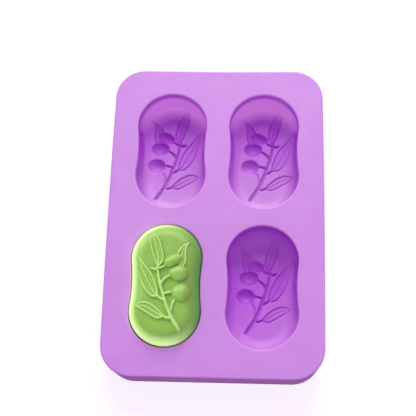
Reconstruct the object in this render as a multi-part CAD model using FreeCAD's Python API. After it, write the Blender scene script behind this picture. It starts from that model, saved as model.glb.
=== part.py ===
"""Silicone soap mould: four olive-branch cavities in one slab, and one cast bar lying in it.

Millimetres. The origin is under the middle of the slab, on the face it rests on. X runs across
the slab, Y along it and +Z up. The two pieces are the mould and the bar, which lies face up
in the cavity on the -X, -Y side and lifts straight out.
"""
import FreeCAD, Part
import math
import os

from FreeCAD import Vector

# Slab: solid, flat underneath, with sides that draw in a little towards the foot.
WIDTH = 148.0
LENGTH = 222.0
HEIGHT = 28.0
CORNER_R = 21.0
FOOT_INSET = 1.0
EDGE_ROUND = 1.0

# Cavity outline: two round lobes joined by a drawn-in waist.
CAVITY_X = 32.5
CAVITY_Y = 49.0
LOBE_R = 24.3
LOBE_Y = 18.2
WAIST = 23.1
DEPTH = 21.0
FLOOR_FILLET = 11.0
RIM_ROUND = 1.2

# Relief on the face of a bar, and so sunk in the floor of each cavity.
BLADE_RISE = 0.8
RIB_RISE = 1.4
OLIVE_RISE = 3.8
ROOT = 4.0

# The bar is a casting that has dried. It can't reach the floor of the cavity back down,
# so it rests where the floor's fillet starts.
SHRINK = 0.975
BAR_BACK_Z = 16.0
BAR_SHIFT_Y = 0.35

# An edge whose height varies less than this counts as flat.
FLAT = 1e-3

# The branch, seen on the bar's face with the cut end of the stem towards -Y.
STEM = [(10.8, -30.1), (8.2, -25.9), (5.4, -21.6), (3.2, -16.9), (1.6, -12.9), (0.2, -8.9),
        (-1.4, -4.3), (-2.9, 0.7), (-4.2, 6.5), (-5.4, 12.1)]
TWIGS = [
    [(5.0, -20.7), (4.9, -16.9), (5.2, -13.1), (6.0, -9.5)],
    [(-5.2, 11.7), (-3.2, 12.2), (-0.8, 13.5)],
    [(-2.9, -0.7), (-2.1, 2.0), (-0.2, 4.6), (2.8, 6.7)],
    [(-0.6, -6.0), (2.3, -4.9), (5.2, -4.3)],
    [(-5.4, 11.5), (-7.2, 10.9), (-9.0, 11.6)],
    [(0.4, -10.1), (-1.6, -9.5), (-4.4, -7.5)],
    [(5.2, -21.7), (2.6, -22.1), (0.0, -21.1)],
]
# Centre, half length, half width and turn of each olive.
OLIVES = [
    ((5.2, 17.3), 6.8, 3.9, 22.0),
    ((9.3, 8.6), 6.6, 5.3, -4.0),
    ((11.4, -4.9), 6.4, 5.6, 0.0),
]
# Base, left edge, tip and right edge of each leaf.
LEAVES = [
    ((-5.0, 12.9), [(-7.2, 18.1), (-9.2, 23.9), (-10.5, 29.3), (-10.9, 33.9)], (-9.9, 37.3),
     [(-6.6, 34.7), (-4.2, 29.7), (-2.6, 23.9), (-1.9, 17.5)]),
    ((-4.4, -7.5), [(-8.8, -7.1), (-13.2, -2.5), (-16.4, 3.9), (-18.5, 11.7)], (-19.6, 20.5),
     [(-14.4, 13.9), (-9.8, 8.2), (-6.9, 2.7), (-5.1, -2.9)]),
    ((0.0, -21.1), [(-4.2, -22.2), (-8.6, -20.2), (-12.8, -17.7), (-16.4, -15.7)], (-18.9, -14.1),
     [(-16.6, -12.3), (-12.4, -11.8), (-7.6, -13.9), (-3.2, -17.5)]),
    ((10.6, 10.5), [(8.6, 17.7), (8.4, 21.9), (10.0, 25.5), (12.6, 28.2)], (16.0, 30.2),
     [(14.2, 27.5), (13.4, 24.1), (13.5, 20.3), (13.4, 16.5)]),
]


def moved(shape, x, y, z):
    """A copy of shape shifted by x, y and z."""
    copy = shape.copy()
    copy.translate(Vector(x, y, z))
    return copy


def arc(start, middle, end):
    """Circular arc through three plan points."""
    return Part.Arc(*[Vector(x, y, 0) for x, y in (start, middle, end)]).toShape()


def peanut(grow):
    """Cavity outline, offset outwards by grow."""
    waist_r = (LOBE_Y**2 + WAIST**2 - LOBE_R**2) / (2 * (LOBE_R - WAIST))
    between = LOBE_R + waist_r
    radius = LOBE_R + grow
    join_x = radius * (WAIST + waist_r) / between
    join_y = LOBE_Y * (1 - radius / between)
    half_length = LOBE_Y + radius
    half_waist = WAIST + grow
    return Part.Wire([
        arc((join_x, join_y), (0, half_length), (-join_x, join_y)),
        arc((-join_x, join_y), (-half_waist, 0), (-join_x, -join_y)),
        arc((-join_x, -join_y), (0, -half_length), (join_x, -join_y)),
        arc((join_x, -join_y), (half_waist, 0), (join_x, join_y)),
    ])


def rounded_rectangle(inset, z):
    """Slab outline at height z, offset inwards by inset."""
    half_x = WIDTH / 2 - inset
    half_y = LENGTH / 2 - inset
    radius = CORNER_R - inset
    edges = []
    last = Vector(half_x, radius - half_y, z)
    for sign_x, sign_y, start_deg in ((1, 1, 0), (-1, 1, 90), (-1, -1, 180), (1, -1, 270)):
        centre = Vector(sign_x * (half_x - radius), sign_y * (half_y - radius), z)
        start, middle, end = [
            centre + Vector(radius * math.cos(turn), radius * math.sin(turn), 0)
            for turn in (math.radians(start_deg + step) for step in (0, 45, 90))
        ]
        edges.append(Part.LineSegment(last, start).toShape())
        edges.append(Part.Arc(start, middle, end).toShape())
        last = end
    return Part.Wire(edges)


def edges_at(shape, z):
    """Edges of shape that lie flat at height z."""
    return [e for e in shape.Edges if max(abs(e.BoundBox.ZMin - z), abs(e.BoundBox.ZMax - z)) < FLAT]


def casting_body(grow=0.0):
    """Casting without its relief, back at z = 0 and face at DEPTH, grown outwards by grow."""
    face_z = DEPTH + grow
    body = Part.Face(peanut(grow)).extrude(Vector(0, 0, face_z))
    return body.makeFillet(FLOOR_FILLET + grow, edges_at(body, face_z))


def curve(points):
    """Smooth edge through plan points at the root of the relief."""
    spline = Part.BSplineCurve()
    spline.interpolate([Vector(x, y, DEPTH - ROOT) for x, y in points])
    return spline.toShape()


def prism(edges):
    """Upright solid over a closed loop of edges."""
    return Part.Face(Part.Wire(edges)).extrude(Vector(0, 0, ROOT + 2 * RIB_RISE))


def ribbon(points, first_width, last_width):
    """Upright strip along points, narrowing evenly from one end to the other."""
    sides = ([], [])
    last = len(points) - 1
    for i, (x, y) in enumerate(points):
        back = points[max(i - 1, 0)]
        ahead = points[min(i + 1, last)]
        along = Vector(ahead[0] - back[0], ahead[1] - back[1], 0).normalize()
        half = (first_width + (last_width - first_width) * i / last) / 2
        sides[0].append((x - along.y * half, y + along.x * half))
        sides[1].append((x + along.y * half, y - along.x * half))
    left = curve(sides[0])
    right = curve(sides[1])
    ends = [
        Part.LineSegment(a.Vertexes[i].Point, b.Vertexes[i].Point).toShape()
        for a, b, i in ((left, right, 0), (left, right, 1))
    ]
    return prism(Part.__sortEdges__([left, right] + ends))


def blade(base, left, tip, right):
    """Leaf blade between its two edges."""
    return prism([curve([base] + left + [tip]), curve([tip] + right + [base])])


def midrib(base, left, tip, right):
    """Rib up the middle of a leaf, half way between its edges."""
    middle = [((a[0] + b[0]) / 2, (a[1] + b[1]) / 2) for a, b in zip(left, reversed(right))]
    return ribbon([base] + middle + [tip], 1.1, 0.6)


def olive(centre, half_length, half_width, turn_deg):
    """Ellipsoid sunk so that it stands OLIVE_RISE proud with the given plan size."""
    radius = (half_width**2 + OLIVE_RISE**2) / (2 * OLIVE_RISE)
    half_axis = half_length * radius / half_width
    profile = Part.Ellipse(Vector(0, 0, 0), half_axis, radius)
    top = Part.ArcOfEllipse(profile, 0, math.pi).toShape()
    base = Part.LineSegment(Vector(-half_axis, 0, 0), Vector(half_axis, 0, 0)).toShape()
    solid = Part.Face(Part.Wire([top, base])).revolve(Vector(0, 0, 0), Vector(1, 0, 0), 360)
    solid.rotate(Vector(0, 0, 0), Vector(0, 0, 1), turn_deg)
    return moved(solid, centre[0], centre[1], DEPTH + OLIVE_RISE - radius)


def relief():
    """Olive branch on the face of a casting, with its roots inside the body."""
    blades = [blade(*leaf).common(casting_body(BLADE_RISE)) for leaf in LEAVES]
    ribs = [ribbon(STEM, 2.8, 1.5)]
    ribs += [ribbon(points, 1.5, 1.3) for points in TWIGS]
    ribs += [midrib(*leaf) for leaf in LEAVES]
    ribs = [rib.common(casting_body(RIB_RISE)) for rib in ribs]
    olives = [olive(*values) for values in OLIVES]
    return blades[0].multiFuse(blades[1:] + ribs + olives)


def turned_over(shape):
    """A casting shape face down, as it lies in a cavity that opens at z = 0."""
    copy = shape.copy()
    copy.rotate(Vector(0, 0, 0), Vector(0, 1, 0), 180)
    return copy


def cavity_places():
    """Centre of each cavity on the slab."""
    return [(x, y) for x in (-CAVITY_X, CAVITY_X) for y in (-CAVITY_Y, CAVITY_Y)]


def is_rim(edge):
    """Whether an edge of the slab's top belongs to a cavity, not to the slab's own outline."""
    centre = edge.BoundBox.Center
    reach_y = CAVITY_Y + LOBE_Y + LOBE_R
    return abs(centre.x) < CAVITY_X + LOBE_R and abs(centre.y) < reach_y


def silicone_mould(branch):
    """One-piece mould."""
    slab = Part.makeLoft([rounded_rectangle(FOOT_INSET, 0), rounded_rectangle(0, HEIGHT)], True, True)
    slab = slab.makeFillet(EDGE_ROUND, edges_at(slab, HEIGHT))
    body = turned_over(casting_body())
    slab = slab.cut([moved(body, x, y, HEIGHT) for x, y in cavity_places()])
    slab = slab.makeFillet(RIM_ROUND, [e for e in edges_at(slab, HEIGHT) if is_rim(e)])
    print_of_branch = turned_over(branch)
    return slab.cut([moved(print_of_branch, x, y, HEIGHT) for x, y in cavity_places()])


def soap_bar(branch):
    """Dried bar lying face up in its cavity, pushed towards the +Y end."""
    bar = casting_body().fuse(branch)
    bar.scale(SHRINK)
    return moved(bar, -CAVITY_X, BAR_SHIFT_Y - CAVITY_Y, BAR_BACK_Z)


def main():
    os.makedirs("parts", exist_ok=True)
    branch = relief()
    pieces = {"silicone_mould": silicone_mould(branch), "soap_bar": soap_bar(branch)}
    for name, shape in pieces.items():
        solid = shape.Solids[0] if len(shape.Solids) == 1 else shape
        solid.exportStep(f"parts/{name}.step")
        box = solid.BoundBox
        print(f"{name}: {len(shape.Solids)} solid, valid {shape.isValid()}, {shape.Volume / 1000:.1f} cm3, "
              f"{box.XLength:.2f} x {box.YLength:.2f} x {box.ZLength:.2f} mm, z {box.ZMin:.2f} to {box.ZMax:.2f}")


main()
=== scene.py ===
"""Looks of the silicone soap mould: the slab with its four printed cavities, and the green bar.

Lengths are in millimetres while a surface is worked out, and in metres once it is a mesh.
"""
import math

import bmesh
import bpy
import numpy as np
from mathutils import Matrix, Vector
from mathutils.geometry import delaunay_2d_cdt


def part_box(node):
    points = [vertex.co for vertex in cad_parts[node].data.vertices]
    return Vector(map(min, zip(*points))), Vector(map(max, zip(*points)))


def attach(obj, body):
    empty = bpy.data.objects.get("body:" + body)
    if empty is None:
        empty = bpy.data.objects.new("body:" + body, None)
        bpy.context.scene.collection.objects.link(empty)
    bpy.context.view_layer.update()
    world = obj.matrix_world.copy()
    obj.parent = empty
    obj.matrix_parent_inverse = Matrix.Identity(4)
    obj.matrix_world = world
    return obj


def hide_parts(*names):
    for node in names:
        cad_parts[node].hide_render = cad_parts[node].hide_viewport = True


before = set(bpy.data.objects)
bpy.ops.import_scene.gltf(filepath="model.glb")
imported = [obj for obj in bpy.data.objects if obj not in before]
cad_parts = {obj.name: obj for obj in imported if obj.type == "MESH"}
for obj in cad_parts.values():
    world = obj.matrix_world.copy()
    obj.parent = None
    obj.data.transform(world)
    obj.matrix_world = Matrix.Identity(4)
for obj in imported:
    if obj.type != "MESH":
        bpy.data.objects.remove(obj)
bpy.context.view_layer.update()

MM = 0.001

# Slab, from the frame.
mould_low, mould_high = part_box("silicone_mould")
WIDTH, LENGTH, HEIGHT = [(b - a) / MM for a, b in zip(mould_low, mould_high)]
CORNER_R = 21.0
FOOT_INSET = 1.0
EDGE_ROUND = 1.0

# Width of the flat strip of deck beside each rounded edge.
DECK_MARGIN = 0.6

# Cavities, and so castings: two round lobes joined by a drawn-in waist.
CAVITY_X = 32.5
CAVITY_Y = 49.0
LOBE_R = 24.3
LOBE_Y = 18.2
WAIST = 23.1
WAIST_R = (LOBE_Y**2 + WAIST**2 - LOBE_R**2) / (2 * (LOBE_R - WAIST))
DEPTH = 21.0
FLOOR_FILLET = 11.0
RIM_ROUND = 1.2

# Bar: a dried casting, a little smaller than its cavity.
SHRINK = 0.975
BACK_ROUND = 0.7
# Width of the pale band along the bar's edge, which also carries painted light, and painted shade on
# the right.
PALE_EDGE = 6.0

# Branch on the face of a casting, seen with the cut end of the stem towards -Y.
STEM = [(10.8, -30.1), (8.2, -25.9), (5.4, -21.6), (3.2, -16.9), (1.6, -12.9), (0.2, -8.9),
        (-1.4, -4.3), (-2.9, 0.7), (-4.2, 6.5), (-5.4, 12.1)]
TWIGS = [
    [(-5.2, 11.7), (-3.2, 12.2), (-0.8, 13.5)],
    [(-2.9, -0.7), (-2.1, 2.0), (-0.2, 4.6), (2.8, 6.7)],
    [(-0.6, -6.0), (2.3, -4.9), (5.2, -4.3)],
    [(-5.4, 11.5), (-7.2, 10.9), (-9.0, 11.6)],
    [(0.4, -10.1), (-1.6, -9.5), (-4.4, -7.5)],
    [(5.2, -21.7), (2.6, -22.1), (0.0, -21.1)],
]
FAINT_TWIG = [(5.0, -20.7), (4.9, -16.9), (5.6, -13.1), (7.4, -9.5)]
# Centre, half length, half width and turn of each olive.
OLIVES = [
    ((5.2, 17.3), 6.8, 3.9, 22.0),
    ((9.3, 8.6), 6.6, 5.3, -4.0),
    ((11.4, -4.9), 6.4, 5.6, 0.0),
]
# Base, left edge, tip and right edge of each leaf.
LEAVES = [
    ((-5.0, 12.9), [(-7.2, 18.1), (-9.2, 23.9), (-10.5, 29.3), (-10.9, 33.9)], (-9.9, 37.3),
     [(-6.6, 34.7), (-4.2, 29.7), (-2.6, 23.9), (-1.9, 17.5)]),
    ((-4.4, -7.5), [(-8.8, -7.1), (-13.2, -2.5), (-16.4, 3.9), (-18.5, 11.7)], (-19.6, 20.5),
     [(-14.4, 13.9), (-9.8, 8.2), (-6.9, 2.7), (-5.1, -2.9)]),
    ((0.0, -21.1), [(-4.2, -22.2), (-8.6, -20.2), (-12.8, -17.7), (-16.4, -15.7)], (-18.9, -14.1),
     [(-16.6, -12.3), (-12.4, -11.8), (-7.6, -13.9), (-3.2, -17.5)]),
    ((10.6, 10.5), [(8.6, 17.7), (8.4, 21.9), (10.0, 25.5), (12.6, 28.2)], (16.0, 30.2),
     [(14.2, 27.5), (13.4, 24.1), (13.5, 20.3), (13.4, 16.5)]),
]
OLIVE_RISE = 3.8

# Middle of each cavity, and how far its branch is moved on the casting. The branches don't all
# lie in the same place, and the bar's lies nearest to the stem's end.
CAVITIES = [
    ((-CAVITY_X, -CAVITY_Y), (0, 0)),
    ((-CAVITY_X, CAVITY_Y), (0.7, 0)),
    ((CAVITY_X, -CAVITY_Y), (-0.35, 2.2)),
    ((CAVITY_X, CAVITY_Y), (-1.8, 0)),
]
BAR_SHIFT = (0.35, -3.0)

# Painted shade on a cavity's floor, a darker purple standing in for the shade that falls there: its
# share at the middle, gained towards the far end, and lost towards the right.
FAR_ROW_FLOOR_SHADE = (0.5, 0.65, 0)
NEAR_ROW_FLOOR_SHADE = (0.76, 0.42, 0.12)
MOST_SHADE_ON_FLOOR = 0.85

# The same painted shade on the side walls, and painted shade added where the branch is sunk.
FLANK_SHADE = 0.6
SUNK_SHADE = 0.3

# Painted emission, standing in for light that comes through the side walls, more on the right in the
# near row, and round the bar.
FLANK_GLOW = 0.22
NEAR_ROW_LEAN = 0.1
GAP_GLOW = 0.4

# Painted highlights on the ridges of the bar's branch and on its olives: how pale they make it.
RIDGE_HIGHLIGHT = 0.3
OLIVE_HIGHLIGHT = 0.13

# Spacing of surface points: over the branch, over the rest of a casting, and over the deck.
FINE = 0.45
COARSE = 1.5
DECK_STEP = 5.0

# Points round each lobe and each waist of a cavity, round a corner of the slab, and along a side.
LOBE_POINTS = 112
WAIST_POINTS = 32
CORNER_POINTS = 17
SIDE_POINTS = 32

# The floor's colour, and the light that it shows to the camera but doesn't send to the slab.
FLOOR_COLOUR = (0.3, 0.3, 0.3, 1)
FLOOR_LIFT = 0.79

# The room's own weak light, tinted by the slab's colour.
SURROUND = (0.6, 0.29, 0.75, 1)

# Camera: where it stands, its turns about X, Y and Z in degrees, and its lens and film in mm.
EYE = (0.0277, -0.1986, 0.641)
EYE_TURNS = (18.44, 2.93, 0.78)
LENS = 81.2
FILM = 36


# ---------------------------------------------------------------- plan outlines

def outline():
    """Points round the cavity outline and the outward normal at each."""
    join = math.asin(LOBE_Y / (LOBE_R + WAIST_R))
    points, normals = [], []
    for turn in (0, math.pi):
        for angle in np.linspace(-join, math.pi + join, LOBE_POINTS, endpoint=False) + turn:
            normal = np.array([math.cos(angle), math.sin(angle)])
            points.append(np.array([0, LOBE_Y * math.cos(turn)]) + LOBE_R * normal)
            normals.append(normal)
        side = -math.cos(turn)
        centre = np.array([side * (WAIST + WAIST_R), 0])
        for angle in np.linspace(join, -join, WAIST_POINTS, endpoint=False):
            normal = side * np.array([math.cos(angle), math.sin(angle)])
            points.append(centre - WAIST_R * normal)
            normals.append(normal)
    return np.array(points), np.array(normals)


OUTLINE, NORMALS = outline()


def peanut_ring(grow, z):
    """Cavity outline at height z, offset outwards by grow."""
    plan = OUTLINE + grow * NORMALS
    return np.column_stack([plan, np.full(len(plan), z)])


def peanut_depth(plan):
    """How far each plan point lies inside the cavity outline."""
    x, y = np.abs(plan[:, 0]), np.abs(plan[:, 1])
    from_waist = np.hypot(WAIST + WAIST_R - x, y)
    in_waist = y * (LOBE_R + WAIST_R) < LOBE_Y * from_waist
    in_lobe = LOBE_R - np.hypot(x, y - LOBE_Y)
    return np.where(in_waist, from_waist - WAIST_R, in_lobe)


def slab_ring(inset, z):
    """Slab outline at height z, offset inwards by inset."""
    half = np.array([WIDTH / 2 - inset, LENGTH / 2 - inset])
    radius = CORNER_R - inset
    points = []
    for signs, start in (((1, 1), 0), ((-1, 1), 90), ((-1, -1), 180), ((1, -1), 270)):
        centre = np.array(signs) * (half - radius)
        turns = np.radians(start + np.linspace(0, 90, CORNER_POINTS))
        points += [centre + radius * np.array([math.cos(t), math.sin(t)]) for t in turns]
    corners = np.array(points)
    loop = []
    for i, point in enumerate(corners):
        loop.append(point)
        if i % CORNER_POINTS == CORNER_POINTS - 1:
            after = corners[(i + 1) % len(corners)]
            loop += [point + (after - point) * s for s in np.linspace(0, 1, SIDE_POINTS)[1:-1]]
    plan = np.array(loop)
    return np.column_stack([plan, np.full(len(plan), z)])


def hex_grid(half_x, half_y, step):
    """Plan points on a triangular grid over a rectangle."""
    rows = np.arange(-half_y, half_y, step * math.sqrt(3) / 2)
    columns = np.arange(-half_x, half_x, step)
    points = [(x + step / 2 * (j % 2), y) for j, y in enumerate(rows) for x in columns]
    return np.array(points)


# ---------------------------------------------------------------- closed surfaces

class Skin:
    """Points and faces of one closed surface, in millimetres."""

    def __init__(self):
        self.points = np.zeros((0, 3))
        self.faces = []

    def add(self, points):
        """Adds points and returns their numbers."""
        first = len(self.points)
        self.points = np.vstack([self.points, points])
        return np.arange(first, len(self.points))

    def stack(self, rings):
        """Joins closed rings of one count, each to the next, and returns their numbers."""
        numbers = [self.add(ring) for ring in rings]
        for a, b in zip(numbers, numbers[1:]):
            quads = np.column_stack([a, np.roll(a, -1), np.roll(b, -1), b])
            self.faces += quads.tolist()
        return numbers

    def fill(self, rings, inner, keep):
        """Triangles between rings and over the inner points, where keep is true of a plan point."""
        free = self.add(inner)
        numbers = np.concatenate(list(rings) + [free])
        plan = self.points[numbers, :2]
        edges, start = [], 0
        for ring in rings:
            count = len(ring)
            edges += [(start + i, start + (i + 1) % count) for i in range(count)]
            start += count
        found = delaunay_2d_cdt([Vector(p) for p in plan], edges, [], 0, 1e-6)
        source = [was[0] for was in found[3]]
        triangles = numbers[np.array([[source[v] for v in face] for face in found[2]])]
        middles = self.points[triangles][:, :, :2].mean(axis=1)
        self.faces += triangles[keep(middles)].tolist()

    def object(self, name, **shares):
        """The surface as a smooth-shaded Blender object, in metres, with named values at its points."""
        mesh = bpy.data.meshes.new(name)
        mesh.from_pydata((self.points * MM).tolist(), [], self.faces)
        for share, values in shares.items():
            mesh.attributes.new(share, "FLOAT", "POINT").data.foreach_set("value", values)
        shell = bmesh.new()
        shell.from_mesh(mesh)
        loose = [v for v in shell.verts if not v.link_faces]
        bmesh.ops.delete(shell, geom=loose, context="VERTS")
        bmesh.ops.recalc_face_normals(shell, faces=shell.faces)
        shell.to_mesh(mesh)
        shell.free()
        mesh.shade_smooth()
        piece = bpy.data.objects.new(name, mesh)
        bpy.context.scene.collection.objects.link(piece)
        return piece


# ---------------------------------------------------------------- the olive branch

def smooth_line(points, pieces=12):
    """Points of a smooth curve through the given ones."""
    knots = np.array([points[0]] + list(points) + [points[-1]], float)
    line = []
    for a, b, c, d in zip(knots, knots[1:], knots[2:], knots[3:]):
        for t in np.linspace(0, 1, pieces, endpoint=False):
            line.append(0.5 * (2 * b + (c - a) * t + (2 * a - 5 * b + 4 * c - d) * t**2
                               + (3 * b - a - 3 * c + d) * t**3))
    return np.array(line + [knots[-1]])


def nearest(plan, line):
    """Distance from each plan point to a line, and how far along it the nearest point is, 0 to 1."""
    best = np.full(len(plan), 1e9)
    along = np.zeros(len(plan))
    spans = np.diff(line, axis=0)
    starts = np.concatenate([[0], np.cumsum(np.hypot(*spans.T))])
    for start, span, run in zip(line, spans, starts):
        length = np.hypot(*span)
        t = np.clip((plan - start) @ span / length**2, 0, 1)
        distance = np.hypot(*(plan - start - t[:, None] * span).T)
        closer = distance < best
        best = np.where(closer, distance, best)
        along = np.where(closer, (run + t * length) / starts[-1], along)
    return best, along


def rib(plan, line, widths, rises, roundness=0.5):
    """Rounded rib along a line, its width and rise changing evenly from one end to the other."""
    distance, along = nearest(plan, line)
    half = (widths[0] + (widths[1] - widths[0]) * along) / 2
    rise = rises[0] + (rises[1] - rises[0]) * along
    return rise * np.clip(1 - (distance / half)**2, 0, 1)**roundness


def inside(plan, loop):
    """Whether each plan point is inside a closed loop."""
    x, y = plan.T
    crossings = np.zeros(len(plan), int)
    for (ax, ay), (bx, by) in zip(loop, np.roll(loop, -1, axis=0)):
        spans = (ay > y) != (by > y)
        if ay != by:
            crossings += spans & (x < ax + (bx - ax) * (y - ay) / (by - ay))
    return crossings % 2 == 1


def leaf_rise(plan, base, left, tip, right):
    """A leaf: a low blade with raised edges, a midrib and a vein to each side of it."""
    edge_a = smooth_line([base] + left + [tip])
    edge_b = smooth_line([base] + right[::-1] + [tip])
    blade = 0.5 * inside(plan, np.vstack([edge_a, edge_b[::-1]]))
    parts = [
        blade,
        rib(plan, edge_a, (1.4, 1.2), (1.7, 1.3), 1.0),
        rib(plan, edge_b, (1.4, 1.2), (1.5, 1.1), 1.0),
        rib(plan, (edge_a + edge_b) / 2, (1.3, 0.9), (1.4, 0.9), 1.0),
    ]
    for share in (0.25, 0.75):
        vein = edge_a + share * (edge_b - edge_a)
        parts.append(rib(plan, vein[8:-10], (0.9, 0.8), (0.8, 0.5), 1.0))
    return blend_rises(parts)


def olive_rise(plan, centre, half_length, half_width, turn_deg):
    """An olive: nearly half an ellipsoid."""
    turn = math.radians(turn_deg)
    offset = plan - centre
    along = offset @ [math.cos(turn), math.sin(turn)] / half_length
    across = offset @ [-math.sin(turn), math.cos(turn)] / half_width
    return OLIVE_RISE * np.clip(1 - along**2 - across**2, 0, 1)**0.6


def blend_rises(parts):
    """The highest of several rises, with their meetings softened."""
    return sum(part**5 for part in parts)**0.2


def olives_rise(plan):
    """How far the olives stand off the face at each plan point."""
    return blend_rises([olive_rise(plan, *olive) for olive in OLIVES])


def twigs_rise(plan):
    """How far the stem, twigs and leaves stand off the face, where no olive covers them."""
    parts = [rib(plan, smooth_line(STEM), (3.0, 1.8), (2.3, 1.9))]
    parts += [rib(plan, smooth_line(twig), (1.9, 1.6), (2.0, 1.9)) for twig in TWIGS]
    parts.append(rib(plan, smooth_line(FAINT_TWIG), (2.0, 2.4), (1.0, 0.7)))
    parts += [leaf_rise(plan, *leaf) for leaf in LEAVES]
    return blend_rises(parts) * np.clip(1 - olives_rise(plan), 0, 1)


def branch_rise(plan):
    """How far the whole branch stands off the face at each plan point."""
    return blend_rises([twigs_rise(plan), olives_rise(plan)])


def on_branch(plan):
    """Whether each plan point is on the branch or right beside it."""
    reach = [(0, 0), (0.9, 0), (-0.9, 0), (0, 0.9), (0, -0.9)]
    return np.any([branch_rise(plan + shift) > 0.01 for shift in reach], axis=0)


# ---------------------------------------------------------------- the casting

WALL_HEIGHT = DEPTH - FLOOR_FILLET
WALL_STEPS = (2.5, 5.0, 7.5, WALL_HEIGHT)
FILLET_TURNS = np.radians((7, 14, 21, 28, 35, 41))


def fillet_place(turn):
    """Offset and height of the fillet between wall and face, turned that far from the wall."""
    inset = FLOOR_FILLET * (1 - math.cos(turn))
    return -inset, WALL_HEIGHT + FLOOR_FILLET * math.sin(turn)


def face_height(plan):
    """Height of a casting's face above its back, without the branch."""
    short = np.clip(FLOOR_FILLET - peanut_depth(plan), 0, FLOOR_FILLET)
    return WALL_HEIGHT + np.sqrt(FLOOR_FILLET**2 - short**2)


def branch_points():
    """Plan points close together over the branch, and its rise at each."""
    plan = hex_grid(LOBE_R, LOBE_R + LOBE_Y, FINE)
    plan = plan[on_branch(plan)]
    return plan, branch_rise(plan)


BRANCH, BRANCH_RISE = branch_points()


def face_points(shift):
    """Points over a casting's face inside its last fillet ring, with the branch moved by shift."""
    margin = -fillet_place(FILLET_TURNS[-1])[0] + 0.4
    plain = hex_grid(LOBE_R, LOBE_R + LOBE_Y, COARSE)
    plain = plain[~on_branch(plain - shift)]
    plan = np.vstack([BRANCH + shift, plain])
    rise = np.concatenate([BRANCH_RISE, np.zeros(len(plain))])
    points = np.column_stack([plan, face_height(plan) + rise])
    return points[peanut_depth(plan) > margin]


def casting_rings():
    """Rings up the wall and over the fillet of a casting."""
    rings = [peanut_ring(0, h) for h in WALL_STEPS]
    return rings + [peanut_ring(*fillet_place(turn)) for turn in FILLET_TURNS]


def inside_last_ring(plan):
    """Whether plan points are inside the last fillet ring."""
    return peanut_depth(plan) > -fillet_place(FILLET_TURNS[-1])[0]


# ---------------------------------------------------------------- the mould

def in_cavity(points, place):
    """Casting points turned face down into the cavity at place."""
    return points * [-1, 1, -1] + [*place, HEIGHT]


def rim_rings():
    """Rings from the deck round the rim of a cavity, as heights above a casting's back."""
    turns = np.radians(np.linspace(0, 90, 6))
    flat = [peanut_ring(RIM_ROUND + DECK_MARGIN, 0)]
    return flat + [
        peanut_ring(RIM_ROUND * (1 - math.sin(t)), RIM_ROUND * (1 - math.cos(t))) for t in turns
    ]


def relax(points):
    """The give of a soft slab: bowed sides, a drawn-in far edge and a deck that isn't quite flat."""
    x, y, z = points.T
    u, v = 2 * x / WIDTH, 2 * y / LENGTH
    bow = 0.7 * np.sign(x) * (1 - v**2) * np.abs(u)**6
    draw = -0.8 * (1 - u**2) * np.clip(v, 0, None)**8
    swell = 0.16 * np.sin(x / 19 + 1.1) * np.cos(y / 27 + 0.4) + 0.1 * np.sin(x / 9 - y / 13)
    return np.column_stack([x + bow, y + draw, z + swell * (z / HEIGHT)**2])


def in_place(points, place):
    """Offset from a cavity's middle, depth inside its outline, drop below the deck, and whether
    the cavity owns the point."""
    offset = points[:, :2] - place
    depth = peanut_depth(offset)
    return offset, depth, HEIGHT - points[:, 2], (depth > -0.01) & (points[:, 2] > 1)


def aside_share(offset):
    """How much a point lies to the side of a cavity, 0 over the middle and 1 at its widest."""
    return np.clip(1.6 * np.abs(offset[:, 0]) / LOBE_R - 0.4, 0, 1)


def painted_shade_share(points, place, shift):
    """How strong the painted shade in a cavity is at each point, 0 on the deck and 1 well down in it.
    """
    offset, depth, drop, own = in_place(points, place)
    along = offset[:, 1] / (LOBE_R + LOBE_Y)
    across = offset[:, 0] / LOBE_R
    level, slope, lean = FAR_ROW_FLOOR_SHADE if place[1] > 0 else NEAR_ROW_FLOOR_SHADE
    # Painted shade: over the floor, set row by row, on the side walls, on the walls near the outline
    # fading out towards the near end, and in the sunk branch.
    floor = np.clip(level + slope * along - lean * across, 0, MOST_SHADE_ON_FLOOR) * np.clip(drop / 4, 0, 1)
    aside = aside_share(offset) * (1 - 2 * lean * (across > 0))
    flank = FLANK_SHADE * aside * np.interp(depth, (0, 7, 11), (1, 0.6, 0))
    line = np.interp(depth, (0, 2, 4), (1, 1, 0)) * np.clip(0.9 + along, 0, 1)
    # Painted shade in the sunk branch.
    sunk = SUNK_SHADE * sunk_branch_share(points, place, shift)
    share = np.maximum(np.maximum(floor, flank) + sunk, line) * np.clip(drop - 0.4, 0, 1)
    return own * np.clip(share, 0, 1)


def sunk_branch_share(points, place, shift):
    """How far the branch is sunk into a cavity at each point, up to 1 mm, which sets the painted shade
    in the sunk branch.
    """
    plan = (points[:, :2] - place) * [-1, 1]
    open_floor = (peanut_depth(plan) > 0.5) & (points[:, 2] > 1)
    share = np.zeros(len(points))
    share[open_floor] = np.clip(branch_rise(plan[open_floor] - shift), 0, 1)
    return share


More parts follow.
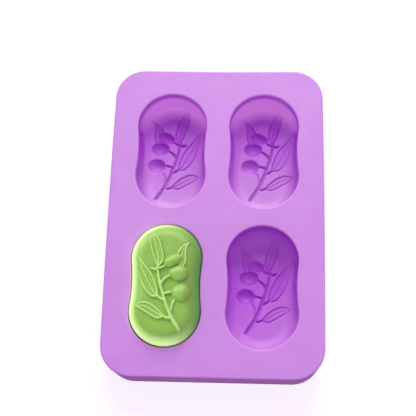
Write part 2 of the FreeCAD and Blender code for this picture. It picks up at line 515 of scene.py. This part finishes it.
def glow_share(points, place):
    """How much painted emission, standing in for light that comes through a cavity's walls and floor,
    each point gets.
    """
    offset, depth, drop, own = in_place(points, place)
    turn = np.arcsin(np.clip((drop - WALL_HEIGHT) / FLOOR_FILLET, 0, 1))
    run = np.where(drop < WALL_HEIGHT, drop, WALL_HEIGHT + FLOOR_FILLET * turn)
    run += np.clip(depth - FLOOR_FILLET, 0, None)
    ahead = np.clip((offset[:, 1] - LOBE_Y) / LOBE_R, 0, 1)
    lean = FLANK_GLOW + NEAR_ROW_LEAN * np.sign(offset[:, 0]) * (place[1] < 0)
    flank = lean * aside_share(offset) * np.interp(depth, (1.5, 4, 8, 13), (0, 1, 1, 0))
    if place[1] < 0:
        end = np.interp(run, (6, 14, 60), (0, 0.2, 0.08)) * np.clip(ahead * 4, 0.2, 1)
    else:
        end = np.interp(run, (0, 5, 11, 16, 29), (0, 0.4, 1.5, 1.4, 0)) * ahead**0.6
    return own * np.maximum(end, flank)


def painted_gap_glow(points, place):
    """How much painted emission, standing in for light that comes through the silicone, lights the
    narrow gap round the bar.
    """
    offset, depth, drop, own = in_place(points, place)
    return own * GAP_GLOW * np.clip(1 - drop / 8, 0, 1)


def outer_places():
    """Inset and height of each ring from the deck down the outside of the slab to its foot."""
    places = [(EDGE_ROUND + DECK_MARGIN, HEIGHT)]
    for t in np.radians(np.linspace(0, 90, 6)):
        places.append((EDGE_ROUND * (1 - math.sin(t)), HEIGHT - EDGE_ROUND * (1 - math.cos(t))))
    for z in np.linspace(HEIGHT - EDGE_ROUND, 0.5, 7)[1:]:
        places.append((FOOT_INSET * (1 - z / HEIGHT), z))
    return places + [(FOOT_INSET + 0.5, 0)]


def silicone_mould():
    """The one-piece mould."""
    skin = Skin()
    places = [place for place, shift in CAVITIES]
    outer = skin.stack([slab_ring(*place) for place in outer_places()])
    skin.fill([outer[-1]], np.zeros((0, 3)), lambda plan: np.full(len(plan), True))

    rims = []
    for place, shift in CAVITIES:
        rings = [in_cavity(ring, place) for ring in rim_rings() + casting_rings()]
        walls = skin.stack(rings)
        rims.append(walls[0])
        skin.fill([walls[-1]], in_cavity(face_points(shift), place),
                  lambda plan: inside_last_ring((plan - place) * [-1, 1]))

    def off_the_cavities(plan, grow):
        return np.all([peanut_depth(plan - place) < -grow for place in places], axis=0)

    grid = hex_grid(WIDTH / 2, LENGTH / 2, DECK_STEP)
    straight = np.abs(grid) < [WIDTH / 2 - 3, LENGTH / 2 - 3]
    past_corner = np.clip(np.abs(grid) - [WIDTH / 2 - CORNER_R, LENGTH / 2 - CORNER_R], 0, None)
    grid = grid[straight.all(axis=1) & (np.hypot(*past_corner.T) < CORNER_R - 3)]
    grid = grid[off_the_cavities(grid, RIM_ROUND + 2)]
    skin.fill([outer[0]] + rims, np.column_stack([grid, np.full(len(grid), HEIGHT)]),
              lambda plan: off_the_cavities(plan, RIM_ROUND + DECK_MARGIN))
    # Painted shade in the cavities, painted emission on their walls and round the bar, and painted
    # light on the outside of the slab.
    deep = sum(painted_shade_share(skin.points, *cavity) for cavity in CAVITIES)
    glow = sum(glow_share(skin.points, place) for place in places[1:])
    glow += painted_gap_glow(skin.points, places[0])
    indoors = np.any([peanut_depth(skin.points[:, :2] - p) > -RIM_ROUND for p in places], axis=0)
    # Painted light: the outside of the slab below its top gets a paler, greyer colour that stands in
    # for light coming through the silicone.
    side = ~indoors * np.clip((HEIGHT - skin.points[:, 2] - 0.5) / 2, 0, 1)
    skin.points = relax(skin.points)
    mould = skin.object("silicone_mould_skin", deep=deep, glow=glow, side=side)
    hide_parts("silicone_mould")
    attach(mould, "mould")
    return mould


# ---------------------------------------------------------------- the bar

def soap_bar():
    """The dried bar, face up in its cavity."""
    skin = Skin()
    turns = np.radians(np.linspace(0, 90, 5))
    back = [
        peanut_ring(-BACK_ROUND * (1 - math.sin(t)), BACK_ROUND * (1 - math.cos(t))) for t in turns
    ]
    rings = skin.stack(back + casting_rings())
    skin.fill([rings[0]], np.zeros((0, 3)), lambda plan: peanut_depth(plan) > BACK_ROUND)
    skin.fill([rings[-1]], face_points(BAR_SHIFT), inside_last_ring)
    plan = skin.points[:, :2]
    # Pale band where the soap is thinner and clearer, with painted light: stronger at the left and near
    # edges where the lamps fall, painted highlights on the ridges and olives, and painted emission in
    # the material.
    edge = np.clip(1 - peanut_depth(plan) / PALE_EDGE, 0, 1)
    across = plan[:, 0] / LOBE_R
    ridge_highlight = (skin.points[:, 2] > DEPTH) * np.clip(twigs_rise(plan - BAR_SHIFT) - 0.5, 0, RIDGE_HIGHLIGHT)
    near = np.clip(-plan[:, 1] / (LOBE_R + LOBE_Y) - 0.3, 0, 0.7)
    up = np.interp(skin.points[:, 2], (WALL_HEIGHT - 2, WALL_HEIGHT + 2), (0.35, 1))
    thin = np.maximum(up * edge * np.clip(0.65 - 0.9 * across + near, 0, 1), ridge_highlight)
    # Painted highlight on the olives.
    olives = OLIVE_HIGHLIGHT * np.clip(olives_rise(plan - BAR_SHIFT), 0, 1) * (skin.points[:, 2] > DEPTH)
    thin = np.maximum(thin, olives)
    # Painted shade: a darker, cooler green along the right edge.
    shade = edge * np.clip(across - 0.1, 0, 1)

    low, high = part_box("soap_bar")
    middle = (low + high) / 2 / MM
    spread = 1 + 0.01 * np.clip(skin.points[:, 2:] / 6, 0, 1)
    skin.points[:, :2] *= spread
    skin.points = skin.points * SHRINK + [middle.x, middle.y, low.z / MM]
    bar = skin.object("soap_bar_skin", thin=thin, shade=shade)
    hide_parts("soap_bar")
    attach(bar, "bar")
    return bar


# ---------------------------------------------------------------- materials

def srgb(*values):
    """Linear colour from 8-bit display values."""
    shares = [v / 255 for v in values]
    return [s / 12.92 if s <= 0.04045 else ((s + 0.055) / 1.055)**2.4 for s in shares] + [1.0]


class Nodes:
    """Shorthand for building a node material."""

    def __init__(self, name):
        self.material = bpy.data.materials.new(name)
        self.material.use_nodes = True
        self.tree = self.material.node_tree
        self.shader = self.tree.nodes["Principled BSDF"]
        self.place = self.make("ShaderNodeTexCoord").outputs["Object"]

    def make(self, kind, **settings):
        node = self.tree.nodes.new(kind)
        for key, value in settings.items():
            if key in node.inputs:
                node.inputs[key].default_value = value
            else:
                setattr(node, key, value)
        return node

    def link(self, output, socket):
        self.tree.links.new(output, socket)

    def noise(self, scale, detail=3.0, roughness=0.55):
        node = self.make("ShaderNodeTexNoise", Scale=scale, Detail=detail, Roughness=roughness)
        self.link(self.place, node.inputs["Vector"])
        return node.outputs["Fac"]

    def ramp(self, value, stops):
        node = self.make("ShaderNodeValToRGB")
        elements = node.color_ramp.elements
        while len(elements) < len(stops):
            elements.new(0.5)
        for element, (position, color) in zip(elements, stops):
            element.position = position
            element.color = color
        self.link(value, node.inputs["Fac"])
        return node.outputs["Color"]

    def span(self, value, low, high):
        node = self.make("ShaderNodeMapRange")
        node.inputs["To Min"].default_value = low
        node.inputs["To Max"].default_value = high
        self.link(value, node.inputs["Value"])
        return node.outputs["Result"]

    def bump(self, height, distance, strength=1.0, under=None):
        node = self.make("ShaderNodeBump", Strength=strength, Distance=distance)
        self.link(height, node.inputs["Height"])
        if under:
            self.link(under, node.inputs["Normal"])
        return node.outputs["Normal"]

    def mix(self, kind, factor, a, b):
        node = self.make("ShaderNodeMix", data_type="RGBA", blend_type=kind)
        for value, index in ((factor, 0), (a, 6), (b, 7)):
            if isinstance(value, bpy.types.NodeSocket):
                self.link(value, node.inputs[index])
            else:
                node.inputs[index].default_value = value
        return node.outputs[2]


def silicone_material():
    """Satin silicone: soft, slightly cloudy, with a very fine moulded grain; painted shade in the
    cavities, painted light on the outside of the slab, and painted emission on cavity walls.
    """
    nodes = Nodes("lilac_silicone")
    cloud = nodes.ramp(nodes.noise(38, 4), [(0.3, srgb(191, 147, 203)), (0.7, srgb(196, 153, 207))])
    deep = nodes.make("ShaderNodeAttribute", attribute_name="deep").outputs["Fac"]
    side = nodes.make("ShaderNodeAttribute", attribute_name="side").outputs["Fac"]
    # Painted shade: a darker purple in the cavities.
    color = nodes.mix("MIX", deep, cloud, srgb(172, 76, 200))
    # Painted light: a paler, greyer colour on the outside of the slab.
    color = nodes.mix("MIX", side, color, srgb(208, 167, 204))
    nodes.link(color, nodes.shader.inputs["Base Color"])
    # Painted light: pink emission on the walls of the open cavities, strongest on the far walls of the
    # far row, and in the gap round the bar.
    glow = nodes.make("ShaderNodeAttribute", attribute_name="glow").outputs["Fac"]
    nodes.link(nodes.span(glow, 0, 0.3), nodes.shader.inputs["Emission Strength"])
    nodes.shader.inputs["Emission Color"].default_value = (1, 0.42, 0.84, 1)
    nodes.link(nodes.span(nodes.noise(420, 4), 0.40, 0.56), nodes.shader.inputs["Roughness"])
    swell = nodes.bump(nodes.noise(90, 2), 0.0006, 0.35)
    grain = nodes.bump(nodes.noise(2600, 2), 0.00004, 0.5, swell)
    nodes.link(grain, nodes.shader.inputs["Normal"])
    nodes.shader.inputs["Subsurface Weight"].default_value = 0.6
    nodes.shader.inputs["Subsurface Radius"].default_value = (1.0, 0.25, 0.8)
    nodes.shader.inputs["Subsurface Scale"].default_value = 0.002
    nodes.shader.inputs["IOR"].default_value = 1.41
    return nodes.material


def soap_material():
    """Waxy soap: mottled green where it is thick, pale and clearer towards its thinner edges, with
    painted light: paler where the lamps fall on the left and near edges, painted highlights on the
    ridges and olives, and painted emission; a darker green on the right edge is painted shade.
    """
    nodes = Nodes("green_soap")
    # Pale where the soap is thinner, and painted light: paler at the left and near edges, painted
    # highlights on the ridges and olives, and painted emission there.
    thin = nodes.make("ShaderNodeAttribute", attribute_name="thin").outputs["Fac"]
    body = nodes.ramp(nodes.noise(60, 5), [(0.3, srgb(113, 163, 52)), (0.7, srgb(121, 169, 64))])
    share = nodes.ramp(thin, [(0.1, (0, 0, 0, 1)), (0.9, (1, 1, 1, 1))])
    color = nodes.mix("MIX", share, body, srgb(206, 240, 160))
    # Painted shade: a darker, cooler green along the right edge.
    shade = nodes.make("ShaderNodeAttribute", attribute_name="shade").outputs["Fac"]
    color = nodes.mix("MIX", shade, color, srgb(78, 176, 66))
    nodes.link(color, nodes.shader.inputs["Base Color"])
    nodes.link(nodes.span(thin, 0, 0.17), nodes.shader.inputs["Emission Strength"])
    nodes.shader.inputs["Emission Color"].default_value = (0.75, 1, 0.45, 1)
    nodes.link(nodes.span(nodes.noise(500, 4), 0.34, 0.55), nodes.shader.inputs["Roughness"])
    swell = nodes.bump(nodes.noise(140, 3), 0.0005, 0.4)
    grain = nodes.bump(nodes.noise(1800, 4), 0.00008, 0.6, swell)
    nodes.link(grain, nodes.shader.inputs["Normal"])
    nodes.shader.inputs["Subsurface Weight"].default_value = 0.5
    nodes.shader.inputs["Subsurface Radius"].default_value = (0.7, 1.0, 0.4)
    nodes.shader.inputs["Subsurface Scale"].default_value = 0.004
    nodes.shader.inputs["IOR"].default_value = 1.45
    return nodes.material


def floor_material():
    """Plain pale sheet, which sends less light back up at the slab than it shows."""
    nodes = Nodes("pale_floor")
    seen = nodes.make("ShaderNodeLightPath").outputs["Is Camera Ray"]
    nodes.shader.inputs["Base Color"].default_value = FLOOR_COLOUR
    nodes.shader.inputs["Roughness"].default_value = 0.8
    nodes.shader.inputs["Specular IOR Level"].default_value = 0.1
    nodes.shader.inputs["Emission Color"].default_value = (1, 1, 1, 1)
    nodes.link(nodes.span(seen, 0, FLOOR_LIFT), nodes.shader.inputs["Emission Strength"])
    return nodes.material


# ---------------------------------------------------------------- stage

def stage():
    """Floor and the soft white surround."""
    bpy.ops.mesh.primitive_plane_add(size=6)
    floor = bpy.context.object
    floor.name = "floor"
    floor.data.materials.append(floor_material())
    world = bpy.data.worlds.new("surround")
    world.use_nodes = True
    nodes = world.node_tree.nodes
    seen = nodes.new("ShaderNodeLightPath").outputs["Is Camera Ray"]
    shade = nodes.new("ShaderNodeMix")
    shade.data_type = "RGBA"
    world.node_tree.links.new(seen, shade.inputs[0])
    shade.inputs[6].default_value = SURROUND
    shade.inputs[7].default_value = (1, 1, 1, 1)
    world.node_tree.links.new(shade.outputs[2], nodes["Background"].inputs["Color"])
    bpy.context.scene.world = world


def soft_light(name, place, size, power, color=(1, 1, 1), only=None):
    """Area light at place, aimed at the middle of the slab, on one piece if only names it."""
    data = bpy.data.lights.new(name, "AREA")
    data.shape = "SQUARE"
    data.size = size
    data.energy = power
    data.color = color
    lamp = bpy.data.objects.new(name, data)
    lamp.location = place
    aim = Vector((0, 0, HEIGHT * MM)) - Vector(place)
    lamp.rotation_euler = aim.to_track_quat("-Z", "Y").to_euler()
    bpy.context.scene.collection.objects.link(lamp)
    if only:
        lit = bpy.data.collections.new(name)
        lit.objects.link(only)
        lamp.light_linking.receiver_collection = lit


def lights(bar):
    """A large key from behind, a weak fill from the front, and two lamps for the bar alone."""
    soft_light("key", (0.1, 1.85, 1.58), 1.5, 60, (0.95, 1, 0.88))
    soft_light("fill", (0.3, -1.0, 1.2), 1.0, 2, (1, 0.97, 1))
    soft_light("bar_side", (-0.75, 0.55, 0.48), 0.3, 8, (0.98, 1, 0.9), bar)
    soft_light("bar_near", (-0.25, -1.1, 0.4), 0.5, 8, (0.75, 1, 0.5), bar)


def camera():
    """Above the near edge, looking down along the slab."""
    data = bpy.data.cameras.new("camera")
    data.sensor_width = FILM
    data.lens = LENS
    data.clip_start = 0.01
    viewer = bpy.data.objects.new("camera", data)
    about_x, about_y, about_z = [Matrix.Rotation(math.radians(t), 4, axis)
                                 for t, axis in zip(EYE_TURNS, "XYZ")]
    viewer.matrix_world = Matrix.Translation(EYE) @ (about_x @ about_y @ about_z)
    bpy.context.scene.collection.objects.link(viewer)
    bpy.context.scene.camera = viewer


mould = silicone_mould()
mould.data.materials.append(silicone_material())
bar = soap_bar()
bar.data.materials.append(soap_material())
stage()
camera()
lights(bar)
bpy.context.scene.view_settings.view_transform = "Standard"
